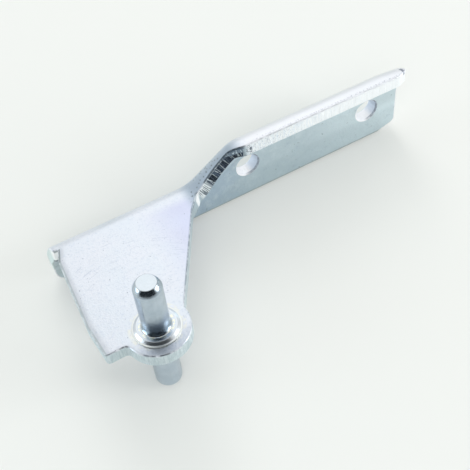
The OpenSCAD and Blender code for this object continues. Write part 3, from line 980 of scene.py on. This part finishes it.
def pin_material():
    """The pin's places are in metres here: axis is the height, out the distance from it."""
    m = Nodes("zinc_plated_pin")
    place = m.add("TexCoord", out="Object")
    axis = m.add("SeparateXYZ", {0: place}, out="Z")
    out = m.length(m.scaled(place, (1, 1, 0)))
    cloud = m.noise(place, 260.0, 4.0, 0.65)
    grain = m.noise(place, 1800.0, 2.0, 0.6)
    turned = m.noise(m.vector(0.0, 0.0, axis), 4200.0, 2.0, 0.7)
    drawn = m.noise(m.scaled(place, (1, 1, 0.12)), 900.0, 3.0, 0.6)
    over_plate = m.span(axis, -0.0004, -0.0001)
    on_collar = m.span(axis, -0.0002, 0.0)
    color = m.mix(m.span(cloud, 0.3, 0.7), (0.445, 0.53, 0.61), (0.60, 0.68, 0.76))
    color = m.mix(m.times(m.span(drawn, 0.48, 0.7), 0.5), color, (0.46, 0.53, 0.58))
    color = m.mix(m.times(m.span(grain, 0.5, 0.8), 0.5), color, (0.45, 0.53, 0.60))
    # The flat top and the collar are whiter
    level = m.math("MAXIMUM", m.span(axis, 0.01740, 0.01748), m.span(axis, 0.0012, 0.0009))
    color = m.mix(m.times(level, over_plate, 0.65), color, (0.80, 0.85, 0.90))
    ledge = m.times(m.span(out, 0.0056, 0.0058), on_collar, 0.7)
    color = m.mix(ledge, color, (0.86, 0.89, 0.92))
    cone = m.times(m.span(out, 0.0047, 0.0050), m.span(out, 0.0059, 0.0056),
                   m.times(on_collar, m.span(axis, 0.004, 0.002)), 0.75)
    color = m.mix(cone, color, (0.89, 0.93, 0.98))
    # Painted blue reflection just over the collar, and a yellow ring at the root
    reflection_over_collar = m.times(m.span(axis, 0.0075, 0.003), m.span(axis, 0.0010, 0.0015), 0.6)
    color = m.mix(reflection_over_collar, color, (0.46, 0.60, 0.78))
    root = m.times(m.span(out, 0.0046, 0.0043), m.span(out, 0.0036, 0.0039),
                   m.span(axis, 0.0, 0.0003))
    uneven = m.span(m.noise(place, 1100.0), 0.46, 0.56, 0.0, 0.8)
    color = m.mix(m.times(root, uneven), color, (0.93, 0.92, 0.74))
    # Paler under the plate, and yellower at the collar's rim
    color = m.mix(m.span(axis, -0.0035, -0.0045, 0.0, 0.3), color, (0.72, 0.80, 0.88))
    rim = m.times(m.span(out, 0.0055, 0.0061), m.span(axis, 0.0, 0.0001), 0.35)
    color = m.mix(rim, color, (0.85, 0.85, 0.72))
    rough = m.span(cloud, 0.25, 0.75, 0.14, 0.26)
    rough = m.blend(m.times(m.span(out, 0.0044, 0.0048), over_plate), rough, 0.29)
    normal = m.bump(m.plus(turned, grain), 0.00003, 0.6)
    return m.surface(color, 1.0, rough, normal)


def add_piece(name, mesh, node, material):
    mesh.materials.append(material)
    obj = bpy.data.objects.new(name, mesh)
    scene.collection.objects.link(obj)
    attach(obj, "root")
    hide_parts(node)
    return obj


add_piece("bracket_sheet", build_sheet(), "bracket", sheet_material())
pin = add_piece("hinge_pin_turned", build_pin(), "hinge_pin", pin_material())
pin.location = Vector(PIN_AT) * MM

# Floor. It touches the stub's rim and the flange's lower back edge, on which the hinge
# rests; its middle is under the hinge. From FADE_FROM to FADE_TO, in metres, it fades
# into the backdrop.
REST = [Vector(p) * MM for p in ((-76.0, 0.0, -11.7), (24.6, 0.0, -10.7), (-65.6, -37.3, -20.9))]
FLOOR_MID = Vector((-25.0, -12.0, 0.0)) * MM
FLOOR_R = 0.30
FADE_FROM, FADE_TO = 0.10, 0.24
FLOOR_STEPS = 64
PALE = (0.905, 0.909, 0.890)
PAPER = (0.78, 0.797, 0.777)
GLOW, GLOW_SHARE = 1.95, 0.06


def floor_material():
    """Pale paper with a faint glow that only the camera sees."""
    m = Nodes("floor_paper")
    away = m.length(m.add("TexCoord", out="Object"))
    seen = m.add("LightPath", out="Is Camera Ray")
    paper = m.add("BsdfDiffuse", {"Color": (*PAPER, 1)})
    glow = m.add("Emission", {"Color": (*PALE, 1), "Strength": GLOW})
    lit = m.add("MixShader", {0: m.times(seen, GLOW_SHARE), 1: paper, 2: glow})
    clear = m.add("BsdfTransparent")
    faded = m.add("MixShader", {0: m.span(away, FADE_FROM, FADE_TO), 1: lit, 2: clear})
    m.put(m.out.inputs[0], faded)
    return m.mat


def add_floor():
    """Round floor through the points that the hinge rests on, under its lowest vertex."""
    up = (REST[1] - REST[0]).cross(REST[0] - REST[2]).normalized()
    if up.z < 0:
        up = -up
    lowest = min(up.dot(Vector(v.co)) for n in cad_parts.values() for v in n.data.vertices)
    side = (Vector((1, 0, 0)) - up * up.x).normalized()
    fore = up.cross(side)
    n = FLOOR_STEPS
    ring = [(side * math.cos(a) + fore * math.sin(a)) * FLOOR_R
            for a in np.linspace(0, 2 * math.pi, n, endpoint=False)]
    mesh = bpy.data.meshes.new("floor")
    mesh.from_pydata([(0, 0, 0)] + ring, [], [(0, i + 1, (i + 1) % n + 1) for i in range(n)])
    mesh.materials.append(floor_material())
    floor = bpy.data.objects.new("floor", mesh)
    scene.collection.objects.link(floor)
    floor.location = FLOOR_MID + up * (lowest - up.dot(FLOOR_MID))


add_floor()


# Light, in metres and watts. The lamps aim at AIM; the panels stand aside at the same
# height, at headings in degrees, and aim at the plate.
AMBIENT, AMBIENT_LEVEL = (0.894, 0.914, 0.902), 0.75
AIM = (-0.03, -0.02, 0)
PANEL_AIM = (-0.05, -0.03, 0)
PANEL_AWAY, PANEL_UP, PANEL_SIZE = 0.7, 0.22, 0.4
PANELS = (("panel_left", -194.6, 1.1, (0.80, 0.93, 1.0)), ("panel_right", -34.6, 2.0, (1, 1, 1)))


def set_world():
    """Even pale light from all round, and a pale backdrop for the camera."""
    world = bpy.data.worlds.new("world")
    scene.world = world
    world.use_nodes = True
    tree = world.node_tree
    tree.nodes.clear()
    out = tree.nodes.new("ShaderNodeOutputWorld")
    ambient = tree.nodes.new("ShaderNodeBackground")
    ambient.inputs["Color"].default_value = (*AMBIENT, 1)
    ambient.inputs["Strength"].default_value = AMBIENT_LEVEL
    backdrop = tree.nodes.new("ShaderNodeBackground")
    backdrop.inputs["Color"].default_value = (*PALE, 1)
    seen = tree.nodes.new("ShaderNodeLightPath")
    choose = tree.nodes.new("ShaderNodeMixShader")
    tree.links.new(seen.outputs["Is Camera Ray"], choose.inputs[0])
    tree.links.new(ambient.outputs[0], choose.inputs[1])
    tree.links.new(backdrop.outputs[0], choose.inputs[2])
    tree.links.new(choose.outputs[0], out.inputs[0])


def area(name, at, aim, size, power, color=(1, 1, 1)):
    """Round soft lamp of a size across, at a place and aimed at another."""
    data = bpy.data.lights.new(name, "AREA")
    data.shape = "DISK"
    data.size = size
    data.energy = power
    data.color = color
    obj = bpy.data.objects.new(name, data)
    scene.collection.objects.link(obj)
    obj.location = at
    obj.rotation_euler = (Vector(aim) - Vector(at)).to_track_quat("-Z", "Y").to_euler()
    return obj


set_world()
area("softbox", (0.24, 0.52, 0.68), AIM, 0.9, 0.95)
back_light = area("back_light", (0.10, 0.78, 0.82), AIM, 0.6, 2.8, (1.0, 0.945, 0.92))
back_light.visible_glossy = False
front_fill = area("front_fill", (-0.45, -0.75, 0.75), AIM, 0.8, 1.9)
front_fill.visible_glossy = False
for name, heading, power, tone in PANELS:
    turn = math.radians(heading)
    at = Vector((math.cos(turn), math.sin(turn), PANEL_UP)) * PANEL_AWAY
    area(name, at, PANEL_AIM, PANEL_SIZE, power, tone)

# Dark card: part of a sphere, with its middle, its radius in metres, and its spread in
# height and heading, in degrees
CARD_MID = Vector((-0.042, -0.03, 0.0))
CARD_R = 0.6
CARD_LOW, CARD_HIGH = -7, 65
CARD_FROM, CARD_TO = -174.6, -58.6
CARD_ROWS, CARD_COLS = 8, 12


def dark_card():
    """Dark studio flag on the camera's side, which only shows mirrored in the metal."""
    m = Nodes("dark_card")
    m.put(m.out.inputs[0], m.add("BsdfDiffuse", {"Color": (0.022, 0.026, 0.03, 1)}))
    verts = []
    for e in np.radians(np.linspace(CARD_LOW, CARD_HIGH, CARD_ROWS + 1)):
        for a in np.radians(np.linspace(CARD_FROM, CARD_TO, CARD_COLS + 1)):
            aim = Vector((math.cos(e) * math.cos(a), math.cos(e) * math.sin(a), math.sin(e)))
            verts.append(CARD_MID + CARD_R * aim)
    n = CARD_COLS + 1
    faces = [(i * n + j, i * n + j + 1, (i + 1) * n + j + 1, (i + 1) * n + j)
             for i in range(CARD_ROWS) for j in range(CARD_COLS)]
    mesh = bpy.data.meshes.new("dark_card")
    mesh.from_pydata(verts, [], faces)
    mesh.materials.append(m.mat)
    obj = bpy.data.objects.new("dark_card", mesh)
    scene.collection.objects.link(obj)
    obj.visible_camera = False
    obj.visible_diffuse = False
    obj.visible_shadow = False
    obj.visible_transmission = False


dark_card()
